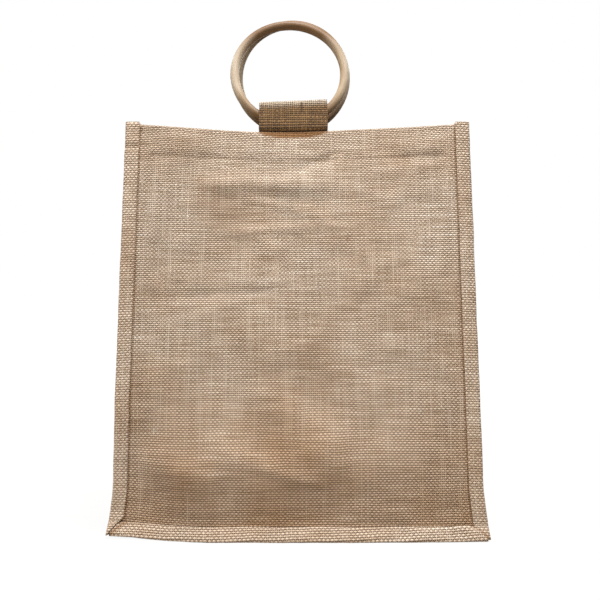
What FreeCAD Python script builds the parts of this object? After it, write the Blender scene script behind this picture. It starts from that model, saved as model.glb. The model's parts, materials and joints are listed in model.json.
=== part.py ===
import FreeCAD, Part
import Sketcher
import math
import os

# A jute carrier bag with two bent-cane ring handles, standing open-gusseted on its base.
# Millimetres and degrees. +X is to the right, the front faces -Y, +Z is up, z = 0 is the floor.

DRIVING_SIZES = [
    ("bagHeight", 397, "floor to the hemmed edge of the mouth"),
    ("mouthWidth", 339, "across both side bindings at the mouth"),
    ("baseWidth", 352, "across both side bindings at the base"),
    ("skirtLength", 356, "length of a bottom binding"),
    ("baseDepth", 160, "front seam to back seam at the base"),
    ("mouthDepth", 88, "front to back between the side seams at the mouth"),
    ("mouthGap", 44.4, "front to back between the panels at the middle of the mouth"),
    ("clothThickness", 1.2, "jute cloth of panels and gussets"),
    ("tapeThickness", 1.1, "jute strip folded over the seams"),
    ("plyGap", 0.1, "air between neighbouring plies of a seam"),
    ("bindingWidth", 14, "seam line to the outer fold of a binding"),
    ("bindingRise", 3, "how far the side bindings stand above the hem"),
    ("hemDepth", 29, "depth of the turned-in top hem"),
    ("hemInset", 9, "seam line to the end of the turned-in leg"),
    ("bowInset", 2.4, "seam line to where a panel starts to bow"),
    ("bindingLap", 0.3, "seam line to the inner edge of a side binding"),
    ("pleatShare", 0.3, "share of a gusset's height at which its crease steepens"),
    ("skirtTilt", 35, "how far the bottom seams lean outwards, from vertical"),
    ("skirtFrontLap", 0.8, "bottom seam line to the binding's front edge"),
    ("skirtBackLap", 2.2, "bottom seam line to the binding's back edge"),
    ("floorInset", 18, "bottom seam line to where the base meets the floor"),
    ("footGap", 0.8, "clearance over a bottom seam for the tilting panel"),
    ("sideGap", 1.6, "clearance over a bottom seam for a tilting side binding"),
    ("tabWidth", 70, "width of a handle tab"),
    ("tabOffset", -4.5, "middle of the tabs from the middle of the bag"),
    ("tabHeight", 32.8, "hem to the top of a tab's loop"),
    ("tabThickness", 1.15, "one ply of a tab"),
    ("tailLength", 25, "how far a tab is sewn down inside the hem"),
    ("tailGap", 0.2, "air between a tab's tail and the hem"),
    ("throatGap", 0.35, "bend allowance between a tab's tail and its loop"),
    ("ringRadius", 62, "middle to outside of a cane ring"),
    ("caneRadius", 4.6, "radius of the cane"),
    ("ringSeat", 3, "throat of the loop to the outside of the ring"),
    ("pocketClearance", 0.35, "air between the cane and its loop"),
    ("frontLean", 14.6, "how far the front handle leans back"),
    ("backLean", 1.6, "how far the back handle leans back"),
    ("frontRingOffset", -8.4, "middle of the front ring from the middle of the bag"),
    ("backRingOffset", -6.0, "middle of the back ring from the middle of the bag"),
    ("tackRadius", 0.7, "radius of the tack that pins the cane's scarf joint"),
    ("tackLength", 7.5, "length of that tack"),
    ("tackFit", 0.02, "radial clearance round the tack"),
    ("tackSink", 0.2, "how far the tack is sunk under the cane's surface"),
]

doc = FreeCAD.newDocument("jute_ring_handle_bag")
sheet = doc.addObject("Spreadsheet::Sheet", "sizes")
for row, (alias, value, note) in enumerate(DRIVING_SIZES, start=1):
    sheet.set("A%d" % row, note)
    sheet.set("B%d" % row, str(value))
    sheet.setAlias("B%d" % row, alias)
doc.recompute()

parts = []


def size(alias):
    return float(sheet.get(alias))


cloth = size("clothThickness")
tape = size("tapeThickness")
air = size("plyGap")
binding = size("bindingWidth")
height = size("bagHeight")
halfBase = size("baseDepth") / 2
halfMouth = size("mouthDepth") / 2
# Depth of the seam plane, between panel and gusset: the panel's outer face is a ply further out.
middleMouth = size("mouthGap") / 2 - cloth - air
# A seam is two plies of cloth inside a folded strip, whose fold is half round.
foldRadius = cloth + tape + 2 * air
tilt = math.radians(size("skirtTilt"))
seamHeight = (binding - foldRadius) * math.cos(tilt) + foldRadius


def share(z):
    return (z - seamHeight) / (height - seamHeight)


def sideDepth(z):
    return halfBase + (halfMouth - halfBase) * share(z)


def middleDepth(z):
    return halfBase + (middleMouth - halfBase) * share(z)


def halfWidth(z):
    return size("baseWidth") / 2 + (size("mouthWidth") - size("baseWidth")) / 2 * share(z)


def keep(obj, label):
    obj.Label = label
    parts.append(obj)
    return obj


def shellPart(label, shape, turned=False):
    """A cloth piece whose surface is lofted or folded; turned puts it on the other side."""
    obj = doc.addObject("Part::Feature", label)
    obj.Shape = shape
    about = FreeCAD.Rotation(FreeCAD.Vector(0, 0, 1), 180 if turned else 0)
    obj.Placement = FreeCAD.Placement(FreeCAD.Vector(0, 0, 0), about)
    return keep(obj, label)


def ruledLoft(wires):
    return Part.makeLoft(wires, True, True)


def polygonFace(points):
    return Part.Face(Part.makePolygon(points + points[:1]))


def foldedSkin(sections):
    """A solid through sections of equally many corners; a twisted side folds along its longer diagonal."""
    faces = [polygonFace(sections[0]), polygonFace(sections[-1])]
    for low, high in zip(sections, sections[1:]):
        for i in range(len(low)):
            a, b = low[i - 1], low[i]
            d, c = high[i - 1], high[i]
            if c.sub(a).Length > d.sub(b).Length:
                faces += [polygonFace([a, b, c]), polygonFace([a, c, d])]
            else:
                faces += [polygonFace([a, b, d]), polygonFace([b, c, d])]
    return Part.Solid(Part.makeShell(faces)).removeSplitter()


# Front panel: flat in the side seams, bowed across the mouth, with its top edge turned in.

def panelWire(z, folded):
    """Section of the front panel; folded adds the hem's turned-in leg behind the face."""
    half = halfWidth(z) - foldRadius
    seam = halfWidth(z) - binding - size("bowInset")
    front = -sideDepth(z) - air - cloth
    back = -sideDepth(z) - air
    middle = -middleDepth(z) - air - cloth

    def bow(left, right, yEnd, yMiddle):
        start = FreeCAD.Vector(left, yEnd, z)
        end = FreeCAD.Vector(right, yEnd, z)
        if abs(yEnd - yMiddle) < air:
            return Part.makeLine(start, end)
        return Part.Arc(start, FreeCAD.Vector(0, yMiddle, z), end).toShape()

    def line(x0, y0, x1, y1):
        return Part.makeLine(FreeCAD.Vector(x0, y0, z), FreeCAD.Vector(x1, y1, z))

    edges = [line(-half, front, -seam, front), bow(-seam, seam, front, middle)]
    edges += [line(seam, front, half, front), line(half, front, half, back)]
    if folded:
        leg = halfWidth(z) - binding - size("hemInset")
        # The face at the leg's end lies on the bow of the panel's back.
        rise = (middle - front) * (1 - (leg / seam) ** 2)
        face = back + rise
        edges += [line(half, back, seam, back), line(seam, back, leg, face)]
        edges += [line(leg, face, leg, face + cloth)]
        edges += [bow(leg, -leg, face + cloth, middle + 2 * cloth)]
        edges += [line(-leg, face + cloth, -leg, face), line(-leg, face, -seam, back)]
        edges += [line(-seam, back, -half, back)]
    else:
        edges += [line(half, back, seam, back), bow(seam, -seam, back, middle + cloth)]
        edges += [line(-seam, back, -half, back)]
    edges.append(line(-half, back, -half, front))
    return Part.Wire(edges)


def panelShape():
    hemLine = height - size("hemDepth")
    lower = ruledLoft([panelWire(seamHeight + size("footGap"), False), panelWire(hemLine, False)])
    upper = ruledLoft([panelWire(hemLine, True), panelWire(height, True)])
    return lower.fuse(upper)


# Gusset: sewn flat behind both panels' edges, and pushed in to a crease halfway back.

def gussetSection(z, side):
    seam = halfWidth(z) - binding
    edge = halfWidth(z) - foldRadius
    depth = sideDepth(z)
    crease = math.sqrt(halfBase ** 2 - depth ** 2)
    inner = [(edge, -depth + air), (seam - cloth, -depth + air), (seam - cloth - crease, 0)]
    inner += [(seam - cloth, depth - air), (edge, depth - air)]
    outer = [(edge, depth - air - cloth), (seam, depth - air - cloth), (seam - crease, 0)]
    outer += [(seam, -depth + air + cloth), (edge, -depth + air + cloth)]
    return [FreeCAD.Vector(side * x, y, z) for x, y in inner + outer]


def gussetShape(side):
    foot = seamHeight + size("footGap")
    heights = [foot, foot + (height - foot) * size("pleatShare"), height]
    return foldedSkin([gussetSection(z, side) for z in heights])


# Side binding: a strip folded round the outer edge of panel and gusset.

def sideBindingWire(z, side):
    outside = halfWidth(z)
    turn = outside - foldRadius
    seam = outside - binding + size("bindingLap")
    bore = foldRadius - tape
    y = -sideDepth(z)

    def at(x, dy):
        return FreeCAD.Vector(side * x, y + dy, z)

    edges = [
        Part.makeLine(at(seam, -foldRadius), at(turn, -foldRadius)),
        Part.Arc(at(turn, -foldRadius), at(outside, 0), at(turn, foldRadius)).toShape(),
        Part.makeLine(at(turn, foldRadius), at(seam, foldRadius)),
        Part.makeLine(at(seam, foldRadius), at(seam, bore)),
        Part.makeLine(at(seam, bore), at(turn, bore)),
        Part.Arc(at(turn, bore), at(turn + bore, 0), at(turn, -bore)).toShape(),
        Part.makeLine(at(turn, -bore), at(seam, -bore)),
        Part.makeLine(at(seam, -bore), at(seam, -foldRadius)),
    ]
    return Part.Wire(edges)


def sideBindingShape(side):
    foot = seamHeight + size("sideGap")
    return ruledLoft([sideBindingWire(foot, side), sideBindingWire(height + size("bindingRise"), side)])


# Bottom seam, in its own frame: down the skirt and out from its face.

def skirtPoint(down, out):
    y = -halfBase - down * math.sin(tilt) - out * math.cos(tilt)
    z = seamHeight - down * math.cos(tilt) + out * math.sin(tilt)
    return FreeCAD.Vector(0, y, z)


def prism(edges, length):
    """A profile in the YZ plane, drawn out evenly to both sides of the middle."""
    face = Part.Face(Part.Wire(edges))
    face.translate(FreeCAD.Vector(-length / 2, 0, 0))
    return face.extrude(FreeCAD.Vector(length, 0, 0))


def polygonEdges(points):
    return [Part.makeLine(a, b) for a, b in zip(points, points[1:] + points[:1])]


def bottomBindingShape():
    turn = binding - foldRadius
    bore = foldRadius - tape
    frontEdge = size("skirtFrontLap")
    backEdge = size("skirtBackLap")
    edges = [
        Part.makeLine(skirtPoint(frontEdge, foldRadius), skirtPoint(turn, foldRadius)),
        Part.Arc(skirtPoint(turn, foldRadius), skirtPoint(binding, 0), skirtPoint(turn, -foldRadius)).toShape(),
        Part.makeLine(skirtPoint(turn, -foldRadius), skirtPoint(backEdge, -foldRadius)),
        Part.makeLine(skirtPoint(backEdge, -foldRadius), skirtPoint(backEdge, -bore)),
        Part.makeLine(skirtPoint(backEdge, -bore), skirtPoint(turn, -bore)),
        Part.Arc(skirtPoint(turn, -bore), skirtPoint(turn + bore, 0), skirtPoint(turn, bore)).toShape(),
        Part.makeLine(skirtPoint(turn, bore), skirtPoint(frontEdge, bore)),
        Part.makeLine(skirtPoint(frontEdge, bore), skirtPoint(frontEdge, foldRadius)),
    ]
    return prism(edges, size("skirtLength"))


def seamEdgeShape():
    """The panel's own lower edge, which stays in the bottom seam when the panel tilts."""
    turn = binding - foldRadius
    top = size("skirtFrontLap")
    corners = [skirtPoint(top, air), skirtPoint(top, air + cloth)]
    corners += [skirtPoint(turn, air + cloth), skirtPoint(turn, air)]
    return prism(polygonEdges(corners), size("skirtLength") - 2 * foldRadius)


# Base: from seam to seam, sagged to the floor, with its two ends turned up to meet the gussets.

def crossing(a, b, c, d):
    """Where the line through a and b meets the line through c and d, in the YZ plane."""
    ab = b.sub(a)
    cd = d.sub(c)
    ac = c.sub(a)
    along = (ac.y * cd.z - ac.z * cd.y) / (ab.y * cd.z - ab.z * cd.y)
    return a.add(ab.multiply(along))


def baseShape():
    turn = binding - foldRadius
    flangeTop = skirtPoint(turn, -air)
    flangeUnder = skirtPoint(turn, -air - cloth)
    seamTop = skirtPoint(0, -air)
    floorY = -halfBase + size("floorInset")
    floorTop = FreeCAD.Vector(0, floorY, cloth)
    slope = floorTop.sub(seamTop).normalize()
    down = FreeCAD.Vector(0, slope.z, -slope.y).multiply(cloth)
    seamUnder = crossing(flangeUnder, skirtPoint(0, -air - cloth), seamTop.add(down), floorTop.add(down))
    onFloor = FreeCAD.Vector(0, floorY, 0), FreeCAD.Vector(0, halfBase, 0)
    floorUnder = crossing(seamUnder, floorTop.add(down), *onFloor)
    front = [flangeTop, seamTop, floorTop]
    under = [floorUnder, seamUnder, flangeUnder]

    def mirrored(points):
        return [FreeCAD.Vector(0, -p.y, p.z) for p in reversed(points)]

    width = size("baseWidth") - 2 * binding
    profile = front + mirrored(front) + mirrored(under) + under
    strip = prism(polygonEdges(profile), width)
    tray = [seamTop, floorTop] + mirrored([seamTop, floorTop])
    ends = prism(polygonEdges(tray), width).cut(prism(polygonEdges(tray), width - 2 * cloth))
    return strip.fuse(ends).removeSplitter()


# Handle tabs: a doubled strip, sewn down inside the hem and looped round the cane.

TAIL_TOP = "sizes.mouthGap / 2 - 2 * sizes.clothThickness - sizes.tailGap"
PANEL_SLOPE = (
    "((sizes.baseDepth - sizes.mouthGap) / 2 + sizes.clothThickness + sizes.plyGap)"
    " / (sizes.bagHeight - %.9g)" % seamHeight
)
THROAT_DEPTH = "(%s - sizes.tabThickness)" % TAIL_TOP


def newBody(label):
    body = doc.addObject("PartDesign::Body", label)
    return keep(body, label)


def sideSketch(body, name):
    """A sketch on the body's YZ plane: its x is +Y and its y is +Z."""
    sketch = body.newObject("Sketcher::SketchObject", name)
    plane = [f for f in body.Origin.OriginFeatures if f.Role == "YZ_Plane"][0]
    sketch.AttachmentSupport = [(plane, "")]
    sketch.MapMode = "FlatFace"
    return sketch


def bind(sketch, index, expression):
    sketch.setExpression("Constraints[%d]" % index, expression)


def pinned(sketch, geometry, end, xExpression, yExpression, point):
    """Holds one end of a sketch line at a place given by two expressions."""
    for kind, expression, value in (
        ("DistanceX", xExpression, point[0]),
        ("DistanceY", yExpression, point[1]),
    ):
        index = sketch.addConstraint(Sketcher.Constraint(kind, -1, 1, geometry, end, value))
        bind(sketch, index, expression)


def evaluated(expression):
    """The number that a sheet expression gives now, to start a sketch from."""
    return float(sheet.evalExpression(expression.replace("sizes.", "")))


def drawPolygon(sketch, corners):
    """Corners are pairs of expressions; the outline's every corner follows its pair."""
    points = [(evaluated(x), evaluated(y)) for x, y in corners]
    count = len(points)
    for i, (x, y) in enumerate(points):
        xNext, yNext = points[(i + 1) % count]
        sketch.addGeometry(Part.LineSegment(FreeCAD.Vector(x, y, 0), FreeCAD.Vector(xNext, yNext, 0)))
    for i in range(count):
        sketch.addConstraint(Sketcher.Constraint("Coincident", i, 2, (i + 1) % count, 1))
    for i, (x, y) in enumerate(corners):
        pinned(sketch, i, 1, x, y, points[i])


def drawSlot(sketch, radius, low, high):
    """An upright slot: round ends of one radius about two heights on the vertical axis."""
    r = evaluated(radius)
    lowZ = evaluated(low)
    highZ = evaluated(high)
    up = FreeCAD.Vector(0, 0, 1)
    bottomEnd = Part.Circle(FreeCAD.Vector(0, lowZ, 0), up, r)
    topEnd = Part.Circle(FreeCAD.Vector(0, highZ, 0), up, r)
    sketch.addGeometry(Part.ArcOfCircle(bottomEnd, math.pi, 2 * math.pi))
    sketch.addGeometry(Part.LineSegment(FreeCAD.Vector(r, lowZ, 0), FreeCAD.Vector(r, highZ, 0)))
    sketch.addGeometry(Part.ArcOfCircle(topEnd, 0, math.pi))
    sketch.addGeometry(Part.LineSegment(FreeCAD.Vector(-r, highZ, 0), FreeCAD.Vector(-r, lowZ, 0)))
    for first, firstEnd, second, secondEnd in ((0, 2, 1, 1), (1, 2, 2, 1), (2, 2, 3, 1), (3, 2, 0, 1)):
        sketch.addConstraint(Sketcher.Constraint("Tangent", first, firstEnd, second, secondEnd))
    sketch.addConstraint(Sketcher.Constraint("PointOnObject", 0, 3, -2))
    sketch.addConstraint(Sketcher.Constraint("PointOnObject", 2, 3, -2))
    bind(sketch, sketch.addConstraint(Sketcher.Constraint("Radius", 0, r)), radius)
    for arc, expression, value in ((0, low, lowZ), (2, high, highZ)):
        index = sketch.addConstraint(Sketcher.Constraint("DistanceY", -1, 1, arc, 3, value))
        bind(sketch, index, expression)


def padAcross(body, sketch, name, kind="PartDesign::Pad"):
    """Draws a side sketch out by the tab's width, half to each side; a pocket cuts as far."""
    feature = body.newObject(kind, name)
    feature.Profile = sketch
    feature.Midplane = True
    feature.setExpression("Length", "sizes.tabWidth" if kind == "PartDesign::Pad" else "2 * sizes.tabWidth")
    sketch.Visibility = False
    return feature


def placeOnMouth(body, side, lean, rise):
    """Side is -1 at the front and 1 at the back; a lean turns the top towards the back."""
    body.setExpression("Placement.Base.x", "sizes.tabOffset")
    body.setExpression("Placement.Base.y", "%d * %s" % (side, THROAT_DEPTH))
    body.setExpression("Placement.Base.z", "sizes.bagHeight + %s" % rise)
    body.setExpression("Placement.Rotation.Axis.x", "1")
    body.setExpression("Placement.Rotation.Axis.z", "0")
    body.setExpression("Placement.Rotation.Angle", "-%s" % lean)


def tabTail(label, side):
    body = newBody(label)
    sketch = sideSketch(body, label + "_outline")
    drop = "%d * %s * sizes.tailLength" % (side, PANEL_SLOPE)
    drawPolygon(sketch, [
        ("-sizes.tabThickness", "0"),
        ("sizes.tabThickness", "0"),
        ("sizes.tabThickness + %s" % drop, "-sizes.tailLength"),
        ("-sizes.tabThickness + %s" % drop, "-sizes.tailLength"),
    ])
    padAcross(body, sketch, label + "_pad")
    placeOnMouth(body, side, "0", "0")
    return body


def tabLoop(label, side, lean):
    caneHeight = "sizes.ringSeat + sizes.caneRadius"
    pocket = "sizes.caneRadius + sizes.pocketClearance"
    outside = pocket + " + sizes.tabThickness"
    top = "sizes.tabHeight - (%s)" % outside
    body = newBody(label)
    outline = sideSketch(body, label + "_outline")
    drawSlot(outline, outside, caneHeight, top)
    padAcross(body, outline, label + "_pad")
    throat = sideSketch(body, label + "_throat")
    drawPolygon(throat, [
        ("-sizes.tabThickness", "0"),
        ("sizes.tabThickness", "0"),
        ("sizes.tabThickness", "sizes.ringSeat - sizes.pocketClearance"),
        ("-sizes.tabThickness", "sizes.ringSeat - sizes.pocketClearance"),
    ])
    padAcross(body, throat, label + "_throat_pad")
    hollow = sideSketch(body, label + "_pocket_outline")
    drawSlot(hollow, pocket, caneHeight, top)
    padAcross(body, hollow, label + "_pocket", "PartDesign::Pocket")
    placeOnMouth(body, side, lean, "sizes.throatGap")
    return body


# Cane rings: bent round, scarfed end to end and pinned by one sunk tack at the lowest point.

# The cane's section is a polygon whose corners lie on the cane's surface.
CANE_FLATS = 12


def ringPlacement(obj, side, lean, offset, along):
    """Puts a part made about the ring's middle, its plane XY, into the leaning tab."""
    obj.setExpression("Placement.Base.x", offset)
    obj.setExpression("Placement.Base.y", "%d * %s + %s * sin(%s)" % (side, THROAT_DEPTH, along, lean))
    rise = "sizes.bagHeight + sizes.throatGap"
    obj.setExpression("Placement.Base.z", "%s + %s * cos(%s)" % (rise, along, lean))
    obj.setExpression("Placement.Rotation.Axis.x", "1")
    obj.setExpression("Placement.Rotation.Axis.z", "0")


def caneRing(label, side, lean, offset):
    middle = "(sizes.ringSeat + sizes.ringRadius)"
    section = doc.addObject("Part::RegularPolygon", label + "_section")
    section.Polygon = CANE_FLATS
    section.Placement.Rotation = FreeCAD.Rotation(FreeCAD.Vector(1, 0, 0), 90)
    section.setExpression("Circumradius", "sizes.caneRadius")
    section.setExpression("Placement.Base.x", "sizes.ringRadius - sizes.caneRadius")

    hoop = doc.addObject("Part::Revolution", label + "_hoop")
    hoop.Source = section
    hoop.Axis = (0, 0, 1)
    hoop.Angle = 360
    hoop.Solid = True
    ringPlacement(hoop, side, lean, offset, middle)
    hoop.setExpression("Placement.Rotation.Angle", "90 - %s" % lean)

    hole = doc.addObject("Part::Cylinder", label + "_tack_hole")
    hole.setExpression("Radius", "sizes.tackRadius + sizes.tackFit")
    hole.setExpression("Height", "sizes.tackLength + 2 * sizes.tackSink")
    ringPlacement(hole, side, lean, offset, "sizes.ringSeat")
    hole.setExpression("Placement.Rotation.Angle", "-%s" % lean)

    ring = doc.addObject("Part::Cut", label)
    ring.Base = hoop
    ring.Tool = hole
    keep(ring, label)

    tack = doc.addObject("Part::Cylinder", label + "_tack")
    tack.setExpression("Radius", "sizes.tackRadius")
    tack.setExpression("Height", "sizes.tackLength")
    ringPlacement(tack, side, lean, offset, "(sizes.ringSeat + sizes.tackSink)")
    tack.setExpression("Placement.Rotation.Angle", "-%s" % lean)
    keep(tack, label + "_tack")


def buildBag():
    panel = panelShape()
    leftGusset = gussetShape(-1)
    leftBinding = sideBindingShape(-1)
    rightBinding = sideBindingShape(1)
    bottomBinding = bottomBindingShape()
    seamEdge = seamEdgeShape()
    shellPart("base_gusset", baseShape())
    shellPart("left_gusset", leftGusset)
    shellPart("right_gusset", leftGusset, turned=True)
    # Turned half a circle, the front's left strip comes to lie on the back's right side.
    for name, turned, strips in (
        ("front", False, (leftBinding, rightBinding)),
        ("back", True, (rightBinding, leftBinding)),
    ):
        shellPart(name + "_panel", panel, turned)
        shellPart(name + "_left_binding", strips[0], turned)
        shellPart(name + "_right_binding", strips[1], turned)
        shellPart(name + "_bottom_binding", bottomBinding, turned)
        shellPart(name + "_seam_edge", seamEdge, turned)


def buildHandles():
    for name, side in (("front", -1), ("back", 1)):
        lean = "sizes.%sLean" % name
        tabTail(name + "_tab_tail", side)
        tabLoop(name + "_tab_loop", side, lean)
        caneRing(name + "_ring", side, lean, "sizes.%sRingOffset" % name)


def checkAll():
    for obj in doc.Objects:
        bad = [word for word in obj.State if word in ("Invalid", "Error")]
        if bad:
            raise RuntimeError("%s did not build: %s" % (obj.Label, bad))
    for obj in parts:
        shape = obj.Shape
        if shape.isNull() or not shape.isValid() or not shape.Solids:
            raise RuntimeError("%s has no sound shape" % obj.Label)


buildBag()
buildHandles()
doc.recompute()
checkAll()
os.makedirs("parts", exist_ok=True)
for obj in parts:
    obj.Shape.exportStep("parts/%s.step" % obj.Label)
    box = obj.Shape.BoundBox
    print("%-22s %10.1f mm3  x %7.1f %7.1f  y %7.1f %7.1f  z %6.1f %6.1f" % (
        obj.Label, obj.Shape.Volume, box.XMin, box.XMax, box.YMin, box.YMax, box.ZMin, box.ZMax))
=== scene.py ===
import json
import math

import bpy
import numpy as np
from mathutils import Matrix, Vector, noise


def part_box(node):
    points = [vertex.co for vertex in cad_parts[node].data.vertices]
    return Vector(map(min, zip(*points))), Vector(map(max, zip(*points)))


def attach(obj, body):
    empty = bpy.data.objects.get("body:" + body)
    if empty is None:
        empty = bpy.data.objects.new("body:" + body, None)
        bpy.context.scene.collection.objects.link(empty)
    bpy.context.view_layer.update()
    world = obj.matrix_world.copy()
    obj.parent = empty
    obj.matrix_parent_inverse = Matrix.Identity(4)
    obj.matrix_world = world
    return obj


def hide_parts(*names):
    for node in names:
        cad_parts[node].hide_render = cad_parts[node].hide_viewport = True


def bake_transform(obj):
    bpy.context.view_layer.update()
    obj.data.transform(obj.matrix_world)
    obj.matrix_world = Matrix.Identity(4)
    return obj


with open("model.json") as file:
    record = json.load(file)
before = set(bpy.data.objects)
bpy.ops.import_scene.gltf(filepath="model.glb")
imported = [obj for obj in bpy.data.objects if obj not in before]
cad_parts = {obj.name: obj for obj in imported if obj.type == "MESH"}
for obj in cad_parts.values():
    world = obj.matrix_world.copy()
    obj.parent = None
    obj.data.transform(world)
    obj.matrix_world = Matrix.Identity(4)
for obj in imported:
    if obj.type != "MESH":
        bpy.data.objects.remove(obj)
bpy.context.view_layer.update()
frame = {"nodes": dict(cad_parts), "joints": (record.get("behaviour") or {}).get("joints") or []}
mm = 0.001

# A jute carrier bag with two cane ring handles. Metres; +X right, the front faces -Y, the floor is z = 0.
hinge = {joint["name"]: joint for joint in frame["joints"]}
bag = {
    "mouthHeight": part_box("front_panel")[1].z,
    "seamHeight": hinge["front_panel_tilt"]["pos_m"][2],
    "halfBase": -hinge["front_panel_tilt"]["pos_m"][1],
    "halfMouth": 44 * mm,
    "middleMouth": 20.9 * mm,
    "halfWidthBase": 176 * mm,
    "halfWidthMouth": 169.5 * mm,
    "binding": 14 * mm,
    "bindingRise": 3 * mm,
    "cloth": 1.2 * mm,
    "tape": 1.1 * mm,
    "ply": 1.3 * mm,
    "hem": 29 * mm,
    "skirtTilt": math.radians(35),
}
bag["fold"] = bag["cloth"] + bag["tape"] + 0.2 * mm
bag["hemLine"] = bag["mouthHeight"] - bag["hem"]


def smooth(t):
    t = np.clip(t, 0, 1)
    return t * t * (3 - 2 * t)


def grids(steps, *columns):
    # The steps down the rows and each column's values along them, as grids of one shape.
    down = np.repeat(steps[:, None], len(columns[0]), 1)
    return [down] + [np.repeat(column[None, :], len(steps), 0) for column in columns]


def share(z):
    return (z - bag["seamHeight"]) / (bag["mouthHeight"] - bag["seamHeight"])


def sideDepth(z):
    return bag["halfBase"] + (bag["halfMouth"] - bag["halfBase"]) * share(z)


def middleDepth(z):
    return bag["halfBase"] + (bag["middleMouth"] - bag["halfBase"]) * share(z)


def halfWidth(z):
    return bag["halfWidthBase"] + (bag["halfWidthMouth"] - bag["halfWidthBase"]) * share(z)


# How the whole bag has settled: each value moves every cloth layer alike, so that seams stay together.
settling = {
    "cornerBack": 9 * mm,
    "cornerLift": 2.5 * mm,
    "cornerReach": 95 * mm,
    "bellyForward": 3 * mm,
    "height": 150 * mm,
    "mouthSag": 2.6 * mm,
    "sagMiddle": -30 * mm,
    "sagWidth": 70 * mm,
    "flare": 3.4 * mm,
    "flareHeight": 48 * mm,
}


def settle(points, side=-1):
    v = settling
    p = points.copy()
    x, y, z = p[..., 0], p[..., 1], p[..., 2]
    front = smooth(-y / (60 * mm))
    low = smooth(1 - z / v["height"])
    corner = smooth((-x - bag["halfWidthBase"] + v["cornerReach"]) / v["cornerReach"]) * low * front
    flare = v["flare"] * smooth(1 - z / v["flareHeight"]) * smooth((np.abs(x) - 90 * mm) / (80 * mm))
    high = smooth((z - bag["mouthHeight"] + 72 * mm) / (60 * mm))
    sag = np.exp(-((x - v["sagMiddle"]) / v["sagWidth"]) ** 2) * high * smooth((-y - 10 * mm) / (8 * mm))
    middle = np.clip(1 - (x / bag["halfWidthBase"]) ** 2, 0, 1)
    p[..., 0] = x + np.sign(x) * flare
    p[..., 1] = y + v["cornerBack"] * corner - v["bellyForward"] * middle * low * front
    p[..., 2] = z + v["cornerLift"] * corner * corner - v["mouthSag"] * sag
    # The back is the front's form, turned round.
    return p * np.array([-1, -1, 1]) if side > 0 else p


def noiseField(x, y, size, seed, depth=2):
    flat = np.stack([np.ravel(x), np.ravel(y)], 1) / size
    values = [noise.fractal(Vector((a, b, seed * 7.3)), 0.6, 2.1, depth) for a, b in flat]
    return np.array(values).reshape(np.shape(x))


def meshObject(name, verts, faces, uv=None):
    mesh = bpy.data.meshes.new(name)
    mesh.from_pydata([tuple(v) for v in verts], [], [tuple(f) for f in faces])
    if uv is not None:
        layer = mesh.uv_layers.new(name="UVMap")
        loops = np.zeros(len(mesh.loops), int)
        mesh.loops.foreach_get("vertex_index", loops)
        layer.data.foreach_set("uv", np.asarray(uv, np.float32)[loops].ravel())
    mesh.polygons.foreach_set("use_smooth", [True] * len(mesh.polygons))
    mesh.update()
    obj = bpy.data.objects.new(name, mesh)
    bpy.context.scene.collection.objects.link(obj)
    return obj


def unitNormals(mid):
    du = np.gradient(mid, axis=1)
    dv = np.gradient(mid, axis=0)
    n = np.cross(du, dv)
    return n / np.maximum(np.linalg.norm(n, axis=2, keepdims=True), 1e-12)


surfaces = {}


def clothShell(name, mid, uv, thickness, **marks):
    # A closed sheet of cloth round a middle surface. Marks are shades on it, one value per grid point.
    rows, cols = mid.shape[:2]
    n = unitNormals(mid) * thickness / 2
    outer = (mid + n).reshape(-1, 3)
    inner = (mid - n).reshape(-1, 3)
    verts = np.vstack([outer, inner])
    grid = np.arange(rows * cols).reshape(rows, cols)
    a, b, c, d = grid[:-1, :-1].ravel(), grid[:-1, 1:].ravel(), grid[1:, 1:].ravel(), grid[1:, :-1].ravel()
    top = np.stack([a, b, c, d], 1)
    under = np.stack([d, c, b, a], 1) + rows * cols
    rim = np.concatenate([grid[0, :], grid[1:, -1], grid[-1, -2::-1], grid[-2::-1, 0]])
    first, second = rim[:-1], rim[1:]
    sides = np.stack([first, first + rows * cols, second + rows * cols, second], 1)
    flat = uv.reshape(-1, 2)
    shell = meshObject(name, verts, np.vstack([top, under, sides]), np.vstack([flat, flat]))
    for mark, values in marks.items():
        layer = shell.data.attributes.new(mark, "FLOAT", "POINT")
        layer.data.foreach_set("value", np.tile(np.clip(values, 0, 1).astype(np.float32).ravel(), 2))
    surfaces[name] = (mid, n * 2)
    return shell


# Materials, and the kinds of node that they use most.
maths, vectors, clouds = "ShaderNodeMath", "ShaderNodeVectorMath", "ShaderNodeTexNoise"
remap, mixer = "ShaderNodeMapRange", "ShaderNodeMix"
joined, split = "ShaderNodeCombineXYZ", "ShaderNodeSeparateXYZ"


def linear(hexColour):
    channels = [int(hexColour[i:i + 2], 16) / 255 for i in (1, 3, 5)]
    return [c / 12.92 if c <= 0.04045 else ((c + 0.055) / 1.055) ** 2.4 for c in channels] + [1]


def feed(tree, node, inputs):
    for key, value in inputs.items():
        if isinstance(value, bpy.types.Node):
            value = value.outputs[0]
        if isinstance(value, bpy.types.NodeSocket):
            tree.links.new(value, node.inputs[key])
        else:
            node.inputs[key].default_value = value


def addNode(tree, kind, inputs=None, **settings):
    node = tree.nodes.new(kind)
    for key, value in settings.items():
        setattr(node, key, value)
    feed(tree, node, inputs or {})
    return node


def newMaterial(name):
    material = bpy.data.materials.new(name)
    material.use_nodes = True
    tree = material.node_tree
    return material, tree, tree.nodes["Principled BSDF"]


def setRamp(node, stops):
    ramp = node.color_ramp
    ramp.elements[0].position, ramp.elements[0].color = stops[0][0], linear(stops[0][1])
    ramp.elements[1].position, ramp.elements[1].color = stops[-1][0], linear(stops[-1][1])
    for position, colour in stops[1:-1]:
        ramp.elements.new(position).color = linear(colour)


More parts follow.
